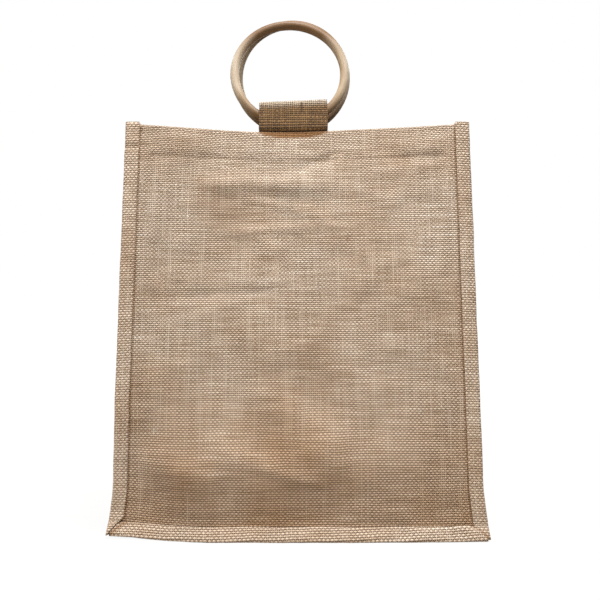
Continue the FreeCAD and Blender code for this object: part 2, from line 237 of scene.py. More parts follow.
hessian = {
    "pitch": 1.98 * mm,
    "rowPitch": 2.42 * mm,
    "rowsCloser": 104,
    "weftStops": (
        (0.22, "#C6AF97"), (0.42, "#D5C2AE"), (0.50, "#DBC9B7"), (0.60, "#E1D0BD"), (0.82, "#F2E8DC"),
    ),
    "warpStops": ((0.25, "#9C8266"), (0.5, "#B49C80"), (0.75, "#D8C8B4")),
    # Colour of the painted shade low between the yarns.
    "gap": "#3E260E",
    "gapDepth": 0.44,
    "golden": "#CBA97A",
    # Colour of painted shade in grooves, creases and under the tab, and of a few specks of soil.
    "crease": "#946633",
    # Colour of lint flecks and of painted light on the tab's top.
    "bleached": "#E6DBC8",
    "stain": 0.35,
    # How strongly the foot is painted darker and more golden, as painted warm shade.
    "footGold": 1.0,
    "footHeight": 400 * mm,
    "warp": 0.72,
    "weft": 0.84,
    "crown": 0.46,
    "relief": 0.55 * mm,
    "wander": 1.4 * mm,
    "roughness": 0.86,
}


def wovenJute(name, values=None):
    # Plain-woven jute: matt, hairy, unbleached yarn. The weft rows stand proud and pale, the gaps between
    # carry painted shade, single yarns are paler or browner for a hand's length, and the lower cloth is
    # painted darker and more golden as painted warm shade.
    v = {**hessian, **(values or {})}
    material, tree, shader = newMaterial(name)
    uv = addNode(tree, "ShaderNodeUVMap", uv_map="UVMap")
    # Yarns wander a little over a few centimetres.
    drift = addNode(tree, clouds, {"Vector": uv, "Scale": 42.0, "Detail": 2.0}).outputs["Color"]
    centred = addNode(tree, vectors, {0: drift, 1: (0.5, 0.5, 0.5)}, operation="SUBTRACT")
    wander = (v["wander"], v["wander"], 0)
    placed = addNode(tree, vectors, {0: centred, 1: wander, 2: uv}, operation="MULTIPLY_ADD")
    place = addNode(tree, split, {0: placed})
    across, up = place.outputs[0], place.outputs[1]
    warpCount = addNode(tree, maths, {0: across, 1: v["pitch"]}, operation="DIVIDE")
    closeness = addNode(tree, maths, {0: up, 1: v["rowsCloser"], 2: 1 / v["rowPitch"]},
                        operation="MULTIPLY_ADD")
    weftCount = addNode(tree, maths, {0: up, 1: closeness}, operation="MULTIPLY")
    grid = addNode(tree, joined, {0: warpCount, 1: weftCount})
    cell = addNode(tree, vectors, {0: grid}, operation="FLOOR")
    partOf = addNode(tree, vectors, {0: grid}, operation="FRACTION")
    local = addNode(tree, vectors, {0: partOf, 1: (0.5, 0.5, 0)}, operation="SUBTRACT")
    index = addNode(tree, split, {0: cell})
    # Over one, under one.
    total = addNode(tree, maths, {0: index.outputs[0], 1: index.outputs[1]}, operation="ADD")
    odd = addNode(tree, maths, {0: total, 1: 2.0}, operation="FLOORED_MODULO")
    over = addNode(tree, maths, {0: odd, 1: -2.0, 2: 1.0}, operation="MULTIPLY_ADD")
    angles = addNode(tree, vectors, {0: local, 1: (math.pi, math.pi, 0)}, operation="MULTIPLY")
    crowns = addNode(tree, split, {0: addNode(tree, vectors, {0: angles}, operation="COSINE")})
    # Each yarn has its own shade and thickness, which change along it in slubs.
    warpPlace = addNode(tree, joined, {0: index.outputs[0], 1: up, 2: 3.0})
    warpLong = addNode(tree, vectors, {0: warpPlace, 1: (0.61, 14.0, 1.0)}, operation="MULTIPLY")
    warpShade = addNode(tree, clouds, {"Vector": warpLong, "Scale": 1.0, "Detail": 2.0}).outputs["Fac"]
    weftPlace = addNode(tree, joined, {0: across, 1: index.outputs[1], 2: 8.0})
    weftLong = addNode(tree, vectors, {0: weftPlace, 1: (24.0, 0.73, 1.0)}, operation="MULTIPLY")
    weftShade = addNode(tree, clouds, {"Vector": weftLong, "Scale": 1.0, "Detail": 3.0}).outputs["Fac"]
    warpWide = addNode(tree, maths, {0: warpShade, 1: 0.25, 2: v["warp"] / 2 - 0.125},
                       operation="MULTIPLY_ADD")
    weftWide = addNode(tree, maths, {0: weftShade, 1: 0.35, 2: v["weft"] / 2 - 0.175},
                       operation="MULTIPLY_ADD")
    widths = addNode(tree, joined, {0: warpWide, 1: weftWide, 2: 1.0})
    ratio = addNode(tree, vectors, {0: local, 1: widths}, operation="DIVIDE")
    square = addNode(tree, vectors, {0: ratio, 1: ratio}, operation="MULTIPLY")
    rounded = addNode(tree, vectors, {0: (1, 1, 0), 1: square}, operation="SUBTRACT")
    atLeast = addNode(tree, vectors, {0: rounded, 1: (0, 0, 0)}, operation="MAXIMUM")
    bellies = addNode(tree, split, {0: atLeast})
    warpLift = addNode(tree, maths, {0: over, 1: crowns.outputs[1]}, operation="MULTIPLY")
    weftLift = addNode(tree, maths, {0: over, 1: crowns.outputs[0]}, operation="MULTIPLY")
    warpHigh = addNode(tree, maths, {0: warpLift, 1: v["crown"], 2: bellies.outputs[0]},
                       operation="MULTIPLY_ADD")
    warpLow = addNode(tree, maths, {0: warpHigh, 1: 0.25}, operation="SUBTRACT")
    weftHigh = addNode(tree, maths, {0: weftLift, 1: -v["crown"], 2: bellies.outputs[1]},
                       operation="MULTIPLY_ADD")
    onTop = addNode(tree, maths, {0: weftHigh, 1: warpLow}, operation="GREATER_THAN")
    bare = addNode(tree, maths, {0: weftHigh, 1: warpLow}, operation="MAXIMUM")
    # Fine fibres, drawn coarser than they are.
    fibrePlace = addNode(tree, vectors, {0: placed, 1: (900.0, 4200.0, 1.0)}, operation="MULTIPLY")
    fibres = addNode(tree, clouds, {"Vector": fibrePlace, "Scale": 1.0, "Detail": 2.0}).outputs["Fac"]
    height = addNode(tree, maths, {0: fibres, 1: 0.25, 2: bare}, operation="MULTIPLY_ADD")
    weftTone = addNode(tree, "ShaderNodeValToRGB", {0: weftShade})
    setRamp(weftTone, v["weftStops"])
    warpTone = addNode(tree, "ShaderNodeValToRGB", {0: warpShade})
    setRamp(warpTone, v["warpStops"])
    yarn = addNode(tree, mixer, {0: onTop, 6: warpTone, 7: weftTone}, data_type="RGBA").outputs[2]
    broad = addNode(tree, clouds, {"Vector": uv, "Scale": 11.0, "Detail": 3.0}).outputs["Fac"]
    patch = addNode(tree, remap, {0: broad, 1: 0.42, 2: 0.68, 3: 0.0, 4: v["stain"]})
    # Painted warm shade: toward the foot the yarn is tinted darker and more golden; the broad patches are
    # stains.
    foot = addNode(tree, remap, {0: up, 1: 0.0, 2: v["footHeight"], 3: v["footGold"], 4: 0.0})
    gold = addNode(tree, maths, {0: patch, 1: foot}, operation="ADD")
    stainsAndFootShade = addNode(tree, mixer, {0: gold, 6: yarn, 7: linear(v["golden"])}, data_type="RGBA",
                   blend_type="MULTIPLY").outputs[2]
    # The crease attribute darkens the yarn with painted shade and a few specks of soil; the next one pales it
    # with lint and painted light.
    crease = addNode(tree, "ShaderNodeAttribute", attribute_name="crease").outputs["Fac"]
    worn = addNode(tree, "ShaderNodeAttribute", attribute_name="worn").outputs["Fac"]
    withShadeAndSoil = addNode(tree, mixer, {0: crease, 6: stainsAndFootShade, 7: linear(v["crease"])}, data_type="RGBA").outputs[2]
    withLintAndPaintedLight = addNode(tree, mixer, {0: worn, 6: withShadeAndSoil, 7: linear(v["bleached"])}, data_type="RGBA").outputs[2]
    # Toward the mouth the yarns lie closer, and the gaps are shallower, so their painted shade is lighter.
    deepest = addNode(tree, remap, {0: up, 1: 0.08, 2: 0.36, 3: v["gapDepth"], 4: v["gapDepth"] - 0.32})
    depth = addNode(tree, remap, {0: height, 1: deepest, 2: 1.05})
    colour = addNode(tree, mixer, {0: depth, 6: linear(v["gap"]), 7: withLintAndPaintedLight}, data_type="RGBA").outputs[2]
    bump = addNode(tree, "ShaderNodeBump", {"Height": height, "Distance": v["relief"], "Strength": 1.0})
    rough = addNode(tree, remap, {0: height, 1: 0.2, 2: 1.2, 3: 0.97, 4: v["roughness"]})
    feed(tree, shader, {"Base Color": colour, "Normal": bump, "Roughness": rough, "IOR": 1.5,
                        "Sheen Weight": 0.12, "Sheen Roughness": 0.6, "Specular IOR Level": 0.25})
    return material


panelCloth = wovenJute("hessian plain weave")
gussetCloth = wovenJute("hessian gusset cloth", {"footGold": 0.3})
bindingCloth = wovenJute("hessian binding strip", {
    "rowPitch": 2.3 * mm,
    "rowsCloser": 0,
    "footGold": 0.0,
    "gapDepth": 0.25,
    "gap": "#4C3115",
})
tabValues = {
    "rowPitch": 2.2 * mm,
    "rowsCloser": 0,
    "pitch": 2.15 * mm,
    "warp": 0.9,
    "crown": 0.5,
    "weftStops": ((0.30, "#644822"), (0.5, "#785930"), (0.72, "#937045")),
    "warpStops": ((0.30, "#5B4120"), (0.5, "#6E502C"), (0.70, "#89673E")),
    # Colour of the painted shade over the tab's foot and of its dark slub.
    "crease": "#3A2612",
    "gap": "#22170B",
    "golden": "#E8CFA8",
    "footGold": 0.0,
}
tabCloth = wovenJute("hessian handle tab", tabValues)

# Rings: one cane bent round, a little uneven in thickness and not quite a true circle.
ring = {
    "radius": 57.4 * mm,
    "cane": 4.6 * mm,
    "around": 20,
    "segments": 240,
    "uneven": 0.12 * mm,
    "outOfRound": 0.35 * mm,
    "wider": {"front": 0.1 * mm, "back": 0.5 * mm},
    "taller": 0.2 * mm,
    "offset": {"front": -8.4 * mm, "back": -6.0 * mm},
}
ring["topAt"] = math.pi * ring["radius"]

caneValues = {
    "stops": ((0.3, "#957E5F"), (0.45, "#AA977D"), (0.6, "#BBAD9A"), (0.75, "#CDC3B6")),
    "bendTone": "#64431A",
    "sideAt": 92 * mm,
    "grain": 0.8 * mm,
    "roughness": 0.5,
}


def peeledCane():
    # Peeled rattan cane: fine long grain and a satin surface. Its colour is cream along the sides, a painted
    # highlight, and painted browner over the top and at the foot as painted shade.
    v = caneValues
    material, tree, shader = newMaterial("peeled rattan cane")
    uv = addNode(tree, "ShaderNodeUVMap", uv_map="UVMap")
    grainScale = (1 / v["grain"], 1 / (50 * v["grain"]), 1)
    grainPlace = addNode(tree, "ShaderNodeMapping", {"Vector": uv, "Scale": grainScale})
    grain = addNode(tree, clouds, {"Vector": grainPlace, "Scale": 1.0, "Detail": 3.0}).outputs["Fac"]
    broadPlace = addNode(tree, "ShaderNodeMapping", {"Vector": uv, "Scale": (70, 16, 1)})
    broad = addNode(tree, clouds, {"Vector": broadPlace, "Scale": 1.0, "Detail": 3.0}).outputs["Fac"]
    tone = addNode(tree, "ShaderNodeValToRGB", {0: broad})
    setRamp(tone, v["stops"])
    # Painted shade: the colour darkens away from the sides, over the top and at the foot.
    along = addNode(tree, split, {0: uv}).outputs[1]
    away = addNode(tree, maths, {0: along, 1: ring["topAt"]}, operation="SUBTRACT")
    far = addNode(tree, maths, {0: away}, operation="ABSOLUTE")
    offSide = addNode(tree, maths, {0: far, 1: v["sideAt"]}, operation="SUBTRACT")
    beside = addNode(tree, maths, {0: offSide}, operation="ABSOLUTE")
    bend = addNode(tree, remap, {0: beside, 1: 18 * mm, 2: 54 * mm, 3: 0.0, 4: 0.92})
    bent = addNode(tree, mixer, {0: bend, 6: tone, 7: linear(v["bendTone"])}, data_type="RGBA").outputs[2]
    fine = addNode(tree, remap, {0: grain, 1: 0.35, 2: 0.65, 3: 0.82, 4: 1.08})
    colour = addNode(tree, mixer, {0: 1.0, 6: bent, 7: fine}, data_type="RGBA", blend_type="MULTIPLY")
    bump = addNode(tree, "ShaderNodeBump", {"Height": grain, "Distance": 0.03 * mm, "Strength": 0.4})
    rough = addNode(tree, remap, {0: grain, 3: v["roughness"] - 0.06, 4: v["roughness"] + 0.12})
    feed(tree, shader, {"Base Color": colour.outputs[2], "Normal": bump, "Roughness": rough, "IOR": 1.5,
                        "Specular IOR Level": 0.25})
    return material


cane = peeledCane()
print("materials made")

# Front and back panel: one length of cloth from inside the bottom seam to the turned-in hem.
panel = {
    "columns": 176,
    "rows": 178,
    "seamInside": 12 * mm,
    "bowInset": 2.4 * mm,
    "groove": 0.7 * mm,
    "grooveWidth": 1.5 * mm,
    "grooveMark": 0.65,
    "markWidth": 1.0 * mm,
    "hemStep": 0.3 * mm,
    "hemMark": 0.12,
    "tabMark": 0.95,
    "unevenness": 1.2 * mm,
    "unevenSize": 80 * mm,
    "belly": 7.5 * mm,
    "bellyHeight": 64 * mm,
    "tabMiddle": -4.5 * mm,
    "soil": ((49, 284), (-152, 312)),
    "lint": ((-135.5, 100), (117, 118)),
}

# Folds of the front, in millimetres: from (x, z) to (x, z), half width, height outwards.
frontFolds = [
    ((2, 359), (44, 370), 6, -1.6),
    ((92, 365), (166, 366), 6, -1.5),
    ((-160, 366), (-60, 368), 5, -0.7),
    ((-100, 340), (28, 340), 10, 3.4),
    ((-52, 325), (17, 311), 6, 1.5),
    ((17, 311), (40, 294), 6, 1.3),
    ((-72, 291), (24, 296), 5, 1.2),
    ((-112, 227), (-25, 231), 6, -1.5),
    ((-36, 136), (50, 66), 20, 6.5),
    ((-80, 84), (14, 54), 8, 2.6),
    ((70, 148), (110, 93), 18, 2.4),
    ((-150, 74), (-80, 56), 14, 3.0),
    ((-60, 190), (20, 170), 20, 2.0),
    ((60, 260), (140, 240), 22, 2.0),
]
backFolds = [
    ((-90, 350), (60, 340), 8, 1.5),
    ((-20, 300), (80, 270), 6, 1.2),
    ((-120, 200), (-10, 215), 7, -1.2),
    ((20, 120), (110, 60), 10, 2.4),
    ((-110, 60), (-20, 80), 7, 1.6),
]


def foldHeight(x, z, folds):
    total = np.zeros(np.shape(x))
    for (x0, z0), (x1, z1), width, rise in folds:
        start, run = np.array([x0, z0]) * mm, np.array([x1 - x0, z1 - z0]) * mm
        length = np.linalg.norm(run)
        along = ((x - start[0]) * run[0] + (z - start[1]) * run[1]) / length
        aside = ((x - start[0]) * run[1] - (z - start[1]) * run[0]) / length
        ends = smooth((along + 0.25 * length) / (0.5 * length))
        ends = ends * smooth((1.25 * length - along) / (0.5 * length))
        total += rise * mm * ends * np.exp(-(aside / (width * mm)) ** 2)
    return total


def panelRows():
    v = panel
    tilt = bag["skirtTilt"]
    upTo = bag["mouthHeight"] - bag["ply"] / 2 - 0.4 * mm
    down = np.linspace(v["seamInside"], 1.2 * mm, 7)
    skirt = [(-d * math.sin(tilt), bag["seamHeight"] - d * math.cos(tilt), -d) for d in down]
    heights = np.linspace(bag["seamHeight"] + 1.2 * mm, upTo, v["rows"])
    heights = np.sort(np.concatenate([heights, bag["hemLine"] + np.linspace(-2, 2, 8) * mm]))
    face = [(0.0, z, z - bag["seamHeight"]) for z in heights]
    turn = [
        (-bag["ply"] / 2 * (1 - math.cos(a)), upTo + bag["ply"] / 2 * math.sin(a), upTo + a * bag["ply"] / 2)
        for a in np.linspace(0.4, math.pi - 0.4, 4)
    ]
    leg = [(-bag["ply"], z, 2 * upTo - z + 2 * mm) for z in np.linspace(upTo, upTo - bag["hem"], 15)]
    return [(-o, z, s) for o, z, s in skirt] + [(o, z, s) for o, z, s in face + turn + leg], len(skirt)


def panelPiece(name, side, folds, seed):
    v = panel
    profile, skirtCount = panelRows()
    out, z, s = (np.array(column) for column in zip(*profile))
    # More columns beside the bindings, where the cloth dips into the seam.
    dip = 1 - (bag["binding"] + 0.6 * mm - bag["fold"]) / (bag["halfWidthBase"] - bag["fold"])
    dense = np.linspace(-4.5, 4.5, 15) * mm / bag["halfWidthBase"]
    t = np.sort(np.concatenate([np.linspace(-1, 1, v["columns"]), dip + dense, -dip + dense]))
    Z, S, OUT = (grids(column, t)[0] for column in (z, s, out))
    half = halfWidth(Z) - bag["fold"]
    X = half * t[None, :]
    seam = halfWidth(Z) - bag["binding"] - v["bowInset"]
    isSkirt = (np.arange(len(z)) < skirtCount)[:, None]
    bow = np.clip(1 - (X / seam) ** 2, 0, 1)
    depth = sideDepth(Z) - (sideDepth(Z) - middleDepth(Z)) * bow + bag["cloth"] / 2 + 0.1 * mm
    inside = smooth((seam - np.abs(X)) / (18 * mm))
    climb = smooth((Z - bag["seamHeight"]) / (14 * mm))
    calm = smooth((bag["mouthHeight"] - Z) / (22 * mm)) * 0.75 + 0.25
    rough = noiseField(X, Z, v["unevenSize"], seed, 3) * v["unevenness"]
    relief = (foldHeight(X, Z, folds) + rough * 2) * inside * climb * calm
    swell = 0.55 + 0.45 * smooth((90 * mm - X) / (60 * mm))
    swell *= np.exp(-((Z - v["bellyHeight"]) / (32 * mm)) ** 2)
    relief += v["belly"] * swell * smooth((seam - np.abs(X)) / (60 * mm)) * climb
    relief += v["hemStep"] * smooth((Z - bag["mouthHeight"] + bag["hem"] + 2 * mm) / (4 * mm)) * inside
    edge = halfWidth(Z) - bag["binding"] - 0.6 * mm
    relief -= v["groove"] * np.exp(-((np.abs(X) - edge) / v["grooveWidth"]) ** 2) * climb * (OUT > -0.1 * mm)
    # Painted shade in the groove beside each binding and along the hem line.
    crease = v["grooveMark"] * np.exp(-((np.abs(X) - edge) / v["markWidth"]) ** 2)
    crease += v["hemMark"] * np.exp(-((Z - bag["hemLine"] + 0.5 * mm) / (1.1 * mm)) ** 2) * inside
    # Painted shadow of the tab on the hem, down to a bowed edge.
    under = 1 - ((X - v["tabMiddle"]) / (36 * mm)) ** 2
    reach = 8 * mm * np.sqrt(np.clip(under, 0, 1))
    crease += v["tabMark"] * smooth((Z - bag["mouthHeight"] + reach) / (2 * mm)) * (under > 0)
    for place in v["soil"] if side < 0 else ():
        crease += np.exp(-((X - place[0] * mm) ** 2 + (Z - place[1] * mm) ** 2) / (1.1 * mm) ** 2)
    worn = np.zeros_like(X)
    for place in v["lint"] if side < 0 else ():
        worn += 1.3 * np.exp(-((X - place[0] * mm) ** 2 + (Z - place[1] * mm) ** 2) / (1.3 * mm) ** 2)
    Y = -(depth + relief + OUT)
    tilt = bag["skirtTilt"]
    skirtY = bag["halfBase"] + (bag["seamHeight"] - Z) * math.tan(tilt) + bag["ply"] / 2 / math.cos(tilt)
    Y = np.where(isSkirt, -skirtY, Y)
    mid = settle(np.stack([X, Y, Z], 2), side)
    uv = np.stack([X + seed * 0.137, S + seed * 0.211], 2)
    piece = clothShell(name, mid, uv, bag["cloth"], crease=crease, worn=worn)
    piece.data.materials.append(panelCloth)
    return piece


for side, word, folds, seed in ((-1, "front", frontFolds, 1), (1, "back", backFolds, 2)):
    piece = panelPiece(word + "Panel", side, folds, seed)
    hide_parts(word + "_panel", word + "_seam_edge")
    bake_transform(piece)
print("panels made")

# Side and bottom bindings: a strip folded round the seam's raw edges.
strip = {
    "columnsLeg": 9,
    "columnsFold": 8,
    "length": 2 * mm,
    "ripple": 0.35 * mm,
    "puff": 0.35 * mm,
    "slant": 0.03,
    "sideEnd": -12.6 * mm,
    "slopeTop": 60 * mm,
    "slopeRise": 17 * mm,
    "left": -173 * mm,
    "right": 174 * mm,
    "lap": 1.7 * mm,
}


def foldedStrip(width):
    v = strip
    radius = bag["fold"] - bag["tape"] / 2
    flat = width - bag["fold"]
    legs = np.linspace(0, flat, v["columnsLeg"])
    front = [(q, radius + v["puff"] * math.sin(math.pi * q / flat), q) for q in legs]
    turn = [
        (flat + radius * math.sin(a), radius * math.cos(a), flat + a * radius)
        for a in np.linspace(0, math.pi, v["columnsFold"])[1:-1]
    ]
    back = [(q, -radius, 2 * flat + math.pi * radius - q) for q in legs[::-1]]
    return np.array(front + turn + back)


def sideBinding(name, side, hand, seed):
    v = strip
    profile = foldedStrip(bag["binding"])
    top = bag["mouthHeight"] + bag["bindingRise"]
    tilt = bag["skirtTilt"]
    lower = hand < 0
    end, slopeTop = v["sideEnd"], v["slopeTop"]
    s = np.arange(end, top - bag["seamHeight"] + v["length"] / 2, v["length"])
    S, Q, OUT, along = grids(s, *profile.T)
    if lower:
        # The inner edge stops higher than the outer fold, so the end runs down in a slope.
        stop = end + (1 - Q / (bag["binding"] - bag["fold"])) * v["slopeRise"]
        S = np.where(S < slopeTop, stop + (slopeTop - stop) * (S - end) / (slopeTop - end), S)
        lift = v["lap"] * smooth(1 - (S + 1 * mm) / (12 * mm))
        OUT = OUT + lift * (OUT > 0)
    wobble = noiseField(S, np.zeros_like(S), 28 * mm, seed) * v["ripple"]
    puff = noiseField(S, Q * 2, 16 * mm, seed + 5) * v["puff"] * 1.5 * (OUT > 0)
    if side < 0 and hand < 0:
        puff = puff - 0.9 * mm * np.exp(-((S - 362 * mm) / (3 * mm)) ** 2) * (OUT > 0)
    edge = Q - (bag["binding"] - bag["fold"]) + wobble
    bend = smooth((S + 3 * mm) / (6 * mm))
    zUp = bag["seamHeight"] + np.maximum(S, 0)
    yUp = -sideDepth(zUp) - OUT - puff
    zDown = bag["seamHeight"] + S * math.cos(tilt) + (OUT + puff) * math.sin(tilt)
    yDown = -bag["halfBase"] + S * math.sin(tilt) - (OUT + puff) * math.cos(tilt)
    Z = zDown * (1 - bend) + (bag["seamHeight"] + S) * bend
    Y = yDown * (1 - bend) + yUp * bend
    X = hand * (halfWidth(bag["seamHeight"] + S) - bag["fold"] + edge)
    # Beside the bottom strip's lapped end the cloth is painted darker, as painted shadow.
    crease = 0.9 * np.exp(-((X - roundedEnd(-S) - 0.6 * mm) / (1.3 * mm)) ** 2) * (S < 0) * (not lower)
    mid = settle(np.stack([X, Y, np.maximum(Z, 1.2 * mm)], 2), side)
    if hand > 0:
        mid, along, S, crease = mid[:, ::-1], along[:, ::-1], S[:, ::-1], crease[:, ::-1]
    uv = np.stack([along, S + v["slant"] * along + seed * 0.1], 2)
    return clothShell(name, mid, uv, bag["tape"], crease=crease)


def roundedEnd(D):
    # Where the right end of a bottom strip is cut, at each depth below the seam.
    return 159 * mm + 15 * mm * np.clip(D / (13 * mm), 0, 1) ** 0.75


def bottomBinding(name, side, seed):
    v = strip
    profile = foldedStrip(bag["binding"])
    tilt = bag["skirtTilt"]
    left, right = v["left"], v["right"]
    x = np.arange(left, right + v["length"] / 2, v["length"])
    X, D, OUT, along = grids(x, *profile.T)
    wobble = noiseField(X, np.zeros_like(X), 30 * mm, seed) * v["ripple"]
    puff = noiseField(X, D * 2, 17 * mm, seed + 5) * v["puff"] * 1.5
    # The right end is cut round and laps over the side strip, which runs on to the corner.
    straight = right - 34 * mm
    stop = roundedEnd(D)
    X = np.where(X > straight, straight + (X - straight) * (stop - straight) / (right - straight), X)
    toEnd = (X - stop) / mm
    end = smooth((toEnd + 5) / 5)
    OUT = np.where(OUT > 0, OUT + v["lap"] * smooth((toEnd + 22) / 10) * (1 - 0.5 * end * end), OUT)
    D = D + 0.8 * mm + wobble
    Z = bag["seamHeight"] - D * math.cos(tilt) + (OUT + puff * (OUT > 0)) * math.sin(tilt)
    Y = -bag["halfBase"] - D * math.sin(tilt) - (OUT + puff * (OUT > 0)) * math.cos(tilt)
    # The left end runs under the side strip, whose slope leaves a fold with painted shade along it.
    crease = 0.9 * np.exp(-((X + 158.5 * mm + D) / (1.8 * mm)) ** 2)
    mid = settle(np.stack([X, Y, np.maximum(Z, bag["tape"] / 2)], 2), side)
    uv = np.stack([X + seed * 0.2, along + v["slant"] * X], 2)
    return clothShell(name, mid, uv, bag["tape"], crease=crease)


for side, word in ((-1, "front"), (1, "back")):
    for hand in (-1, 1):
        strand = "left" if hand * side > 0 else "right"
        piece = sideBinding(word + strand.capitalize() + "Binding", side, hand, 11 + hand + 4 * side)
        piece.data.materials.append(bindingCloth)
        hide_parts(f"{word}_{strand}_binding")
        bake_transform(piece)
    piece = bottomBinding(word + "BottomBinding", side, 31 + side)
    piece.data.materials.append(bindingCloth)
    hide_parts(word + "_bottom_binding")
    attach(piece, "bag_base")
print("bindings made")

# Gussets: each side wall is pushed in to a crease; its halves go with the panel that they are sewn to.
gusset = {
    "columns": 46,
    "rows": 150,
    "foot": 5 * mm,
    "flange": 0.16,
    "unevenness": 0.9 * mm,
    "roundCrease": 7 * mm * 0.18,
}


def gussetHalf(name, side, hand, seed):
    v = gusset
    z = np.linspace(v["foot"], bag["mouthHeight"] - 0.5 * mm, v["rows"])
    Z, t = grids(z, np.linspace(0, 1, v["columns"]))
    zUse = np.maximum(Z, bag["seamHeight"])
    depth = sideDepth(zUse)
    crease = np.sqrt(np.maximum(bag["halfBase"] ** 2 - depth ** 2, 0)) * smooth(Z / (60 * mm))
    edge = halfWidth(zUse) - bag["fold"] - 0.4 * mm
    seam = halfWidth(zUse) - bag["binding"]
    flange = v["flange"]
    a = np.clip(t / flange, 0, 1)
    b = np.clip((t - flange) / (1 - flange), 0, 1)
    X = edge + (seam - edge) * a - crease * b - bag["cloth"] * smooth(b * 8)
    Y = -(depth - bag["cloth"] / 2 - 0.3 * mm) * (1 - b)
    soft = np.exp(-((b - 1) / 0.12) ** 2) * smooth(Z / (80 * mm))
    X = X + v["roundCrease"] * soft
    waves = noiseField(Y, Z, 60 * mm, seed, 3) * v["unevenness"] * smooth(b * 4) * smooth((1 - b) * 3 + 0.3)
    X = X + waves * 2
    mid = settle(np.stack([hand * X, Y, Z], 2), side)
    uv = np.stack([Y + 0.3 * seed, Z], 2)
    if hand > 0:
        mid, uv = mid[:, ::-1], uv[:, ::-1]
    piece = clothShell(name, mid, uv, bag["cloth"])
    piece.data.materials.append(gussetCloth)
    return piece


for side, word in ((-1, "front"), (1, "back")):
    for hand in (-1, 1):
        name = "left" if hand * side > 0 else "right"
        piece = gussetHalf(f"{name}Gusset{word.capitalize()}Half", side, hand, 3 + side + hand * 2)
        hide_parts(name + "_gusset")
        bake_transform(piece)
print("gussets made")

# Base: from seam to seam, resting on the floor, its ends turned up inside the gussets.
base = {"columns": 130, "halfLength": 161 * mm, "floorInset": 18 * mm, "sag": 0.6 * mm}


def basePiece():
    tilt = bag["skirtTilt"]
    h = bag["halfBase"]
    ply = bag["ply"] / 2
    floorY = h - base["floorInset"]
    lift = bag["cloth"] / 2
    seam = bag["seamHeight"]
    drop = seam - 1.2 * mm
    front = [
        (-h - d * math.sin(tilt) + ply * math.cos(tilt), seam - d * math.cos(tilt) - ply * math.sin(tilt))
        for d in (11 * mm, 7 * mm, 3 * mm)
    ]
    slope = [
        (-h + ply + base["floorInset"] * f, drop - (drop - lift) * smooth(f))
        for f in np.linspace(0.05, 1, 8)
    ]
    flat = [(y, lift) for y in np.linspace(-floorY + 4 * mm, floorY - 4 * mm, 40)]
    profile = front + slope + flat + [(-y, z) for y, z in slope[::-1]] + [(-y, z) for y, z in front[::-1]]
    x = np.linspace(-base["halfLength"], base["halfLength"], base["columns"])
    X, Y, Z = grids(x, *np.array(profile).T)
    ends = smooth((np.abs(X) - base["halfLength"] + 9 * mm) / (9 * mm))
    wall = bag["seamHeight"] - 0.6 * mm
    onFloor = np.abs(Y) < floorY + 2 * mm
    turned = np.maximum(Z, Z + (wall - Z) * ends ** 2 * (np.abs(Y) < h))
    Z = np.where(onFloor, Z + (wall - Z) * ends ** 2, turned)
    Z = Z + np.abs(noiseField(X, Y, 50 * mm, 9)) * base["sag"] * onFloor * (1 - ends)
    mid = settle(np.stack([X, Y, Z], 2))[:, ::-1]
    uv = np.stack([Y, X], 2)[:, ::-1]
    piece = clothShell("basePanel", mid, uv, bag["cloth"])
    piece.data.materials.append(gussetCloth)
    return piece


piece = basePiece()
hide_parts("base_gusset")
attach(piece, "bag_base")
print("base made")

# Handle tabs: a doubled strip, sewn down inside the hem, then opened round the cane.
tab = {
    "width": 70 * mm,
    "offset": -4.5 * mm,
    "ply": 1.15 * mm,
    "tail": 25 * mm,
    "height": 32.8 * mm,
    "seat": 3 * mm,
    "cane": 4.6 * mm,
    "clearance": 0.35 * mm,
    "throat": 0.35 * mm,
    "columns": 90,
    "fray": 0.5 * mm,
    "rise": 3.5 * mm,
}
mouthMiddle = 22.2 * mm
throatDepth = mouthMiddle - 2 * bag["cloth"] - 0.2 * mm - tab["ply"]
lean = {"front": math.radians(14.6), "back": math.radians(1.6)}


def tabPath():
    v = tab
    r = v["cane"] + v["clearance"] + v["ply"] / 2
    low = v["seat"] + v["cane"]
    high = v["height"] - v["cane"] - v["clearance"] - v["ply"]
    half = v["ply"] / 2
    tail = [(half, a) for a in np.linspace(-v["tail"], 0, 12)]
    # The cloth turns out over the hem, then rises straight round the cane.
    throat = [(half, 0.35 * mm)]
    throat += [(half + (r - half) * f, 0.8 * mm + f ** 6 * 0.9 * mm) for f in np.linspace(0.15, 1, 9)]
    belly = [(r, a) for a in np.linspace(2.6 * mm, low, 5)]
    face = [(r, a) for a in np.linspace(low, high, 12)[1:-1]]
    cap = [(r * math.cos(a), high + r * math.sin(a)) for a in np.linspace(0, math.pi, 15)]
    right = tail + throat + belly + face
    path = np.array(right + cap + [(-o, a) for o, a in right[::-1]])
    steps = np.linalg.norm(np.diff(path, axis=0), axis=1)
    return path, np.concatenate([[0], np.cumsum(steps)])


